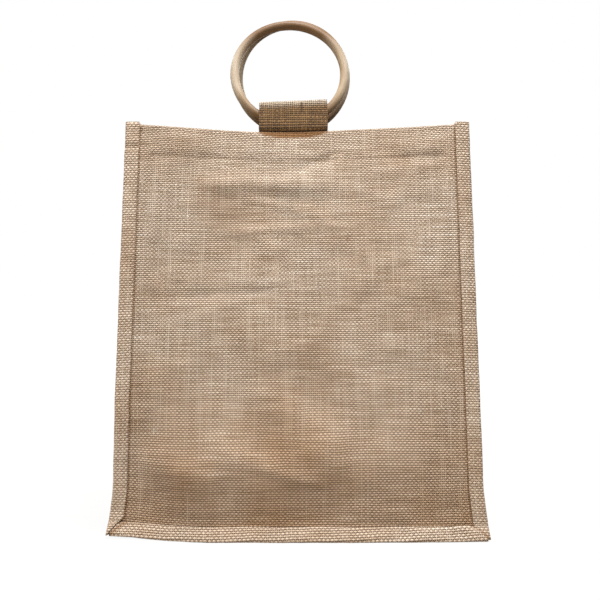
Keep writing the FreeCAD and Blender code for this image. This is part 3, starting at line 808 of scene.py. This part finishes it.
def tabPiece(name, side, word, seed):
    v = tab
    path, run = tabPath()
    x = np.linspace(-v["width"] / 2, v["width"] / 2, v["columns"])
    X = grids(run, x)[1]
    OUT, A, RUN = (grids(column, x)[0] for column in (path[:, 0], path[:, 1], run))
    rise = v["rise"] if side < 0 else 1 * mm
    highPart = smooth((A - 12 * mm) / (20 * mm))
    A = A + highPart * rise * (X / v["width"])
    OUT = OUT + noiseField(X, RUN, 14 * mm, seed) * 0.5 * mm * smooth(A / (6 * mm))
    fray = np.sign(X) * noiseField(X * 0 + np.sign(X), RUN, 9 * mm, seed + 2) * v["fray"]
    X = X + fray * smooth((np.abs(X) - 30 * mm) / (5 * mm))
    tip = smooth(A / (1.5 * mm))
    angle = lean[word] * tip
    slopeIn = (bag["halfBase"] - mouthMiddle) / bag["mouthHeight"]
    tailShift = np.minimum(A, 0) * slopeIn
    y0 = side * (throatDepth - tailShift)
    Y = y0 + side * OUT * np.cos(angle) + np.maximum(A, 0) * np.sin(angle)
    Z = bag["mouthHeight"] + v["throat"] * tip + np.minimum(A, 0)
    Z = Z + np.maximum(A, 0) * np.cos(angle) - side * OUT * np.sin(angle)
    # The front tab's foot follows the dip in the mouth.
    aside = (X + v["offset"] - settling["sagMiddle"]) / settling["sagWidth"]
    dip = settling["mouthSag"] * np.exp(-aside ** 2)
    Z = Z - dip * smooth(1 - A / (9 * mm)) * (side < 0)
    mid = np.stack([X + v["offset"], Y, Z], 2)
    uv = np.stack([X + seed * 0.05, RUN], 2)
    if side > 0:
        mid, uv = mid[:, ::-1], uv[:, ::-1]
    top = v["height"] + (X / v["width"]) * rise
    # The top of the tab is painted paler, as painted light from above.
    worn = 0.6 * smooth((A - top + 12 * mm) / (11 * mm)) * (0.85 + 0.4 * noiseField(X, RUN, 5 * mm, seed + 9))
    # Painted shade along the crease over the tab's foot; the dark slub is the yarn's own.
    crease = 0.5 * np.exp(-((A - 3.4 * mm) / (0.8 * mm)) ** 2)
    slub = np.exp(-((X + v["offset"] - 4.2 * mm) / (1.1 * mm)) ** 2) * smooth((A - 14 * mm) / (4 * mm))
    slub *= smooth((top - 3 * mm - A) / (2 * mm))
    crease = np.maximum(crease, 0.9 * slub * (OUT > 0) * (side < 0))
    piece = clothShell(name, mid, uv, v["ply"], crease=crease, worn=worn * (1 - slub))
    piece.data.materials.append(tabCloth)
    return piece, run[-1]


for side, word in ((-1, "front"), (1, "back")):
    piece, length = tabPiece(word + "Tab", side, word, 41 + side)
    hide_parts(word + "_tab_tail", word + "_tab_loop")
    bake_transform(piece)
print("tabs made")

def ringPiece(name, side, word, seed):
    v = ring
    # The scarf joint is at the bottom, inside the tab.
    angle = np.linspace(0, 2 * math.pi, v["segments"], endpoint=False) - math.pi / 2
    turn = np.linspace(0, 2 * math.pi, v["around"], endpoint=False)
    A, T = np.meshgrid(angle, turn, indexing="ij")
    wander = noiseField(np.cos(A) * 50 * mm, np.sin(A) * 50 * mm, 26 * mm, seed)
    free = smooth((1 + np.sin(A)) * 1.4)
    r = v["cane"] + wander * v["uneven"] * free
    R = v["radius"] + (v["outOfRound"] * np.cos(2 * A + seed) + v["wider"][word]) * free
    x = (R + r * np.cos(T)) * np.cos(A)
    up = (R + r * np.cos(T)) * np.sin(A) + v["taller"] * free
    out = r * np.sin(T)
    centre = tab["seat"] + v["radius"] + v["cane"]
    a = lean[word]
    Y = side * throatDepth + (up + centre) * math.sin(a) + out * math.cos(a)
    Z = bag["mouthHeight"] + tab["throat"] + (up + centre) * math.cos(a) - out * math.sin(a)
    verts = np.stack([x + v["offset"][word], Y, Z], 2).reshape(-1, 3)
    grid = np.arange(verts.shape[0]).reshape(A.shape)
    nextA, nextT = np.roll(grid, -1, 0), np.roll(grid, -1, 1)
    faces = np.stack([grid, nextT, np.roll(nextA, -1, 1), nextA], 2).reshape(-1, 4)
    piece = meshObject(name, verts, faces)
    layer = piece.data.uv_layers.new(name="UVMap")
    uv = []
    for i in range(v["segments"]):
        for j in range(v["around"]):
            u0, u1 = j / v["around"], (j + 1) / v["around"]
            w0, w1 = i / v["segments"], (i + 1) / v["segments"]
            uv += [(u0, w0), (u1, w0), (u1, w1), (u0, w1)]
    scale = np.array([2 * math.pi * v["cane"], 2 * math.pi * v["radius"]])
    layer.data.foreach_set("uv", (np.array(uv) * scale).astype(np.float32).ravel())
    piece.data.materials.append(cane)
    return piece


for side, word in ((-1, "front"), (1, "back")):
    piece = ringPiece(word + "Ring", side, word, 3 + side)
    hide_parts(word + "_ring")
    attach(piece, word + "_handle")
print("rings made")


# Sewing thread and loose fibres: short bent threads, one small tube each, set out by Geometry Nodes.
threadValues = {
    "pitch": 3.8 * mm,
    "stitch": {"length": 2.7 * mm, "arch": 0.35 * mm, "radius": 0.28 * mm, "sides": 5, "least": 0.9},
    "fibre": {"length": 7.0 * mm, "arch": 0.9 * mm, "radius": 0.09 * mm, "sides": 3, "least": 0.4},
    "lift": 0.75 * mm,
    "clear": 24 * mm,
}


def twistedThread(name, dark, pale):
    # Jute sewing thread: two-ply, matt, a shade off the cloth, with a fine twist drawn coarser than it is.
    material, tree, shader = newMaterial(name)
    place = addNode(tree, "ShaderNodeTexCoord").outputs["Object"]
    plies = addNode(tree, "ShaderNodeTexWave", {"Vector": place, "Scale": 260.0, "Distortion": 2.0})
    flecks = addNode(tree, clouds, {"Vector": place, "Scale": 320.0}).outputs["Fac"]
    tone = addNode(tree, mixer, {0: flecks, 6: linear(dark), 7: linear(pale)}, data_type="RGBA").outputs[2]
    bump = addNode(tree, "ShaderNodeBump", {"Height": plies.outputs["Fac"], "Distance": 0.1 * mm})
    rough = addNode(tree, remap, {0: flecks, 3: 0.75, 4: 0.95})
    feed(tree, shader, {"Base Color": tone, "Normal": bump, "Roughness": rough, "IOR": 1.5})
    return material


sewingThread = twistedThread("jute sewing thread", "#8E7352", "#CDB694")
tabThread = twistedThread("dark jute sewing thread", "#2E2110", "#5A4526")
looseFibre = twistedThread("loose jute fibre", "#B89C72", "#EFE3CC")


def threadGroup():
    tree = bpy.data.node_groups.new("bent threads", "GeometryNodeTree")
    sockets = {}
    for name, kind in (("Points", "Geometry"), ("Length", "Float"), ("Arch", "Float"), ("Radius", "Float"),
                       ("Least", "Float"), ("Sides", "Int"), ("Seed", "Int"), ("Thread", "Material")):
        socket = tree.interface.new_socket(name, in_out="INPUT", socket_type="NodeSocket" + kind)
        sockets[name] = socket.identifier
    tree.interface.new_socket("Threads", in_out="OUTPUT", socket_type="NodeSocketGeometry")
    given = addNode(tree, "NodeGroupInput").outputs
    halfLength = addNode(tree, maths, {0: given["Length"], 1: 0.5}, operation="MULTIPLY")
    minus = addNode(tree, maths, {0: given["Length"], 1: -0.5}, operation="MULTIPLY")
    start = addNode(tree, joined, {0: minus})
    middle = addNode(tree, joined, {2: given["Arch"]})
    end = addNode(tree, joined, {0: halfLength})
    bent = addNode(tree, "GeometryNodeCurveQuadraticBezier", {
        "Resolution": 4, "Start": start, "Middle": middle, "End": end,
    })
    section = addNode(tree, "GeometryNodeCurvePrimitiveCircle", {
        "Resolution": given["Sides"], "Radius": given["Radius"],
    })
    tube = addNode(tree, "GeometryNodeCurveToMesh", {
        "Curve": bent, "Profile Curve": section, "Fill Caps": True,
    })
    along = addNode(tree, "GeometryNodeInputNamedAttribute", {"Name": "along"}, data_type="FLOAT_VECTOR")
    facing = addNode(tree, "GeometryNodeInputNamedAttribute", {"Name": "facing"}, data_type="FLOAT_VECTOR")
    turn = addNode(tree, "FunctionNodeAxesToRotation", {0: along, 1: facing},
                   primary_axis="X", secondary_axis="Z")
    size = addNode(tree, "FunctionNodeRandomValue", {2: given["Least"], 3: 1.1, 8: given["Seed"]},
                   data_type="FLOAT")
    placed = addNode(tree, "GeometryNodeInstanceOnPoints", {
        "Points": given["Points"], "Instance": tube, "Rotation": turn, "Scale": size.outputs[1],
    })
    real = addNode(tree, "GeometryNodeRealizeInstances", {0: placed})
    dressed = addNode(tree, "GeometryNodeSetMaterial", {"Geometry": real, "Material": given["Thread"]})
    addNode(tree, "NodeGroupOutput", {0: dressed})
    return tree, sockets


threads, threadSockets = threadGroup()


def gridLine(name, column=None, row=None):
    # Points along one line of a cloth's grid at the stitch pitch, with the run and the outward direction.
    mid, normal = surfaces[name]
    path, out = (mid[:, column], normal[:, column]) if row is None else (mid[row], normal[row])
    run = np.concatenate([[0], np.cumsum(np.linalg.norm(np.diff(path, axis=0), axis=1))])
    marks = np.arange(threadValues["pitch"], run[-1] - threadValues["pitch"], threadValues["pitch"])
    points = np.stack([np.interp(marks, run, path[:, i]) for i in range(3)], 1)
    ahead = np.stack([np.interp(marks + 0.5 * mm, run, path[:, i]) for i in range(3)], 1)
    facing = np.stack([np.interp(marks, run, out[:, i]) for i in range(3)], 1)
    side = np.sign(mid[..., 1].mean())
    facing = facing * np.sign(facing[:, 1] * side)[:, None]
    return points + facing * threadValues["lift"], ahead - points, facing


def scattered(name, count, seed, least=0.0, tilt=0.5):
    # Fibres that stand off a cloth at random places, each lying more or less along a yarn.
    random = np.random.default_rng(seed)
    mid, normal = surfaces[name]
    rows = random.integers(1, mid.shape[0] - 2, count)
    columns = random.integers(1, mid.shape[1] - 2, count)
    points, facing = mid[rows, columns], normal[rows, columns]
    side = np.sign(mid[..., 1].mean())
    facing = facing * np.where(facing[:, 1] * side < 0, -1, 1)[:, None]
    along = mid[rows, columns + 1] - points
    along /= np.linalg.norm(along, axis=1, keepdims=True)
    across = np.cross(facing, along)
    spin = random.normal(0, 0.9, count)[:, None]
    rise = np.abs(random.normal(0, tilt, count))[:, None]
    along = along * np.cos(spin) + across * np.sin(spin) + facing * rise
    keep = points[:, 2] > least
    return (points + facing * threadValues["lift"])[keep], along[keep], facing[keep]


def threadPiece(name, kind, rows, material, body, seed):
    points, along, facing = (np.concatenate(column) for column in zip(*rows))
    obj = meshObject(name, points, [])
    for word, values in (("along", along), ("facing", facing)):
        layer = obj.data.attributes.new(word, "FLOAT_VECTOR", "POINT")
        layer.data.foreach_set("vector", values.astype(np.float32).ravel())
    v = threadValues[kind]
    modifier = obj.modifiers.new("threads", "NODES")
    modifier.node_group = threads
    given = {"Length": v["length"], "Arch": v["arch"], "Radius": v["radius"], "Least": v["least"],
             "Sides": v["sides"], "Seed": seed, "Thread": material}
    for word, value in given.items():
        modifier[threadSockets[word]] = value
    made = bpy.data.meshes.new_from_object(obj.evaluated_get(bpy.context.evaluated_depsgraph_get()))
    obj.modifiers.clear()
    obj.data = made
    for word in ("along", "facing"):
        if word in made.attributes:
            made.attributes.remove(made.attributes[word])
    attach(obj, body)
    return obj


# The row of the tab's grid that lies just over its foot.
tabStitchRow = 23
baseRows = []
for side, word in ((-1, "front"), (1, "back")):
    heights = surfaces[word + "Panel"][0][:, 90, 2]
    hemRow = int(np.argmin(np.abs(heights - bag["mouthHeight"] + bag["hem"] - 2 * mm)[:190]))
    rows = [gridLine(word + "Panel", row=hemRow)]
    for hand in ("Left", "Right"):
        name = word + hand + "Binding"
        inner = 2 if (hand == "Left") == (side < 0) else -3
        points, along, facing = gridLine(name, column=inner)
        keep = points[:, 2] > threadValues["clear"]
        rows.append((points[keep], along[keep], facing[keep]))
    threadPiece(word + "SideStitches", "stitch", rows, sewingThread, word + "_side", 5)
    baseRows.append(gridLine(word + "BottomBinding", column=2))
    tabRows = [gridLine(word + "Tab", row=tabStitchRow)]
    threadPiece(word + "TabStitches", "stitch", tabRows, tabThread, word + "_tab", 6)
    loose = [scattered(word + "Panel", 900, 7, threadValues["clear"])]
    loose += [scattered(word + hand + "Binding", 160, 8, threadValues["clear"]) for hand in ("Left", "Right")]
    threadPiece(word + "SideFibres", "fibre", loose, looseFibre, word + "_side", 9)
    tuft = [scattered(word + "Tab", 900, 10, bag["mouthHeight"] + 26 * mm, 0.8)]
    threadPiece(word + "TabFibres", "fibre", tuft, looseFibre, word + "_tab", 11)
threadPiece("baseStitches", "stitch", baseRows, sewingThread, "bag_base", 12)
print("stitches and fibres made")


def brass():
    # Brass wire tack: drawn metal, a little dulled by handling.
    material, tree, shader = newMaterial("drawn brass wire")
    place = addNode(tree, "ShaderNodeTexCoord").outputs["Object"]
    smear = addNode(tree, clouds, {"Vector": place, "Scale": 1500.0}).outputs["Fac"]
    rough = addNode(tree, remap, {0: smear, 3: 0.25, 4: 0.5})
    tone = addNode(tree, mixer, {0: smear, 6: linear("#B48A3C"), 7: linear("#E0BE6A")}, data_type="RGBA")
    feed(tree, shader, {"Base Color": tone.outputs[2], "Roughness": rough, "Metallic": 1.0})
    return material


tackBrass = brass()
for word in ("front", "back"):
    node = frame["nodes"][word + "_ring_tack"]
    node.data.materials.clear()
    node.data.materials.append(tackBrass)

# Floor, light and camera.
stageValues = {
    "floorColour": "#B4B0AA",
    "glow": 1.06,
    "glowNear": 0.88,
    "worldColour": "#FFFAF5",
    "worldStrength": 0.26,
    "lampColour": "#FFFCFA",
    # Each lamp's place, size, power and target.
    "lamps": {
        "overhead": ((0.1, -0.32, 1.6), 0.6, 34.5, (0, 0, 0.2)),
        "side": ((-1.6, -0.5, 0.7), 0.8, 12.0, (0, 0, 0.4)),
        "back": ((0.5, 2.1, 1.1), 1.4, 16.0, (0, 0, 0.25)),
        "front": ((0.3, -2.2, 0.7), 1.6, 5.0, (0, 0, 0.22)),
    },
    "camera": (2.5 * mm, -750 * mm, 223.8 * mm),
    "focalPixels": 715,
    "framePixels": 600,
}


def makeFloor():
    v = stageValues
    bpy.ops.mesh.primitive_plane_add(size=400)
    floor = bpy.context.object
    floor.name = "floor"
    material, tree, shader = newMaterial("matt paper sweep")
    feed(tree, shader, {"Base Color": linear(v["floorColour"]), "Roughness": 0.9})
    # To the camera the sweep glows up to white; a share of it keeps the shadow under the bag.
    rays = addNode(tree, "ShaderNodeLightPath").outputs["Is Camera Ray"]
    place = addNode(tree, "ShaderNodeTexCoord").outputs["Object"]
    reach = addNode(tree, vectors, {0: place}, operation="LENGTH").outputs["Value"]
    glowShare = addNode(tree, remap, {0: reach, 1: 0.45, 2: 1.2, 3: v["glowNear"], 4: 1.0})
    factor = addNode(tree, maths, {0: rays, 1: glowShare}, operation="MULTIPLY")
    glow = addNode(tree, "ShaderNodeEmission", {"Color": (1, 1, 1, 1), "Strength": v["glow"]})
    mixed = addNode(tree, "ShaderNodeMixShader", {0: factor, 1: shader.outputs[0], 2: glow})
    tree.links.new(mixed.outputs[0], tree.nodes["Material Output"].inputs[0])
    floor.data.materials.append(material)


def makeWorld():
    world = bpy.data.worlds.new("studio")
    bpy.context.scene.world = world
    world.use_nodes = True
    tree = world.node_tree
    rays = addNode(tree, "ShaderNodeLightPath")
    seen = addNode(tree, maths, {0: rays.outputs["Is Camera Ray"], 1: rays.outputs["Is Glossy Ray"]},
                   operation="MAXIMUM")
    strength = addNode(tree, remap, {0: seen, 3: stageValues["worldStrength"], 4: 1.0})
    colour = addNode(tree, mixer, {0: seen, 6: linear(stageValues["worldColour"]), 7: (1, 1, 1, 1)},
                     data_type="RGBA")
    feed(tree, tree.nodes["Background"], {"Color": colour.outputs[2], "Strength": strength})


def makeLamp(name, place, size, power, target):
    lamp = bpy.data.lights.new(name, "AREA")
    lamp.color = linear(stageValues["lampColour"])[:3]
    lamp.size = size
    lamp.energy = power
    obj = bpy.data.objects.new(name, lamp)
    bpy.context.scene.collection.objects.link(obj)
    obj.location = place
    obj.rotation_euler = (Vector(target) - Vector(place)).to_track_quat("-Z", "Y").to_euler()


def makeCamera():
    v = stageValues
    lens = bpy.data.cameras.new("camera")
    lens.sensor_width = 36
    lens.lens = v["focalPixels"] / v["framePixels"] * lens.sensor_width
    obj = bpy.data.objects.new("camera", lens)
    bpy.context.scene.collection.objects.link(obj)
    obj.location = v["camera"]
    obj.rotation_euler = (math.pi / 2, 0, 0)
    bpy.context.scene.camera = obj


makeFloor()
makeWorld()
for name, lamp in stageValues["lamps"].items():
    makeLamp(name, *lamp)
makeCamera()
bpy.context.scene.view_settings.view_transform = "Standard"
print("stage made")
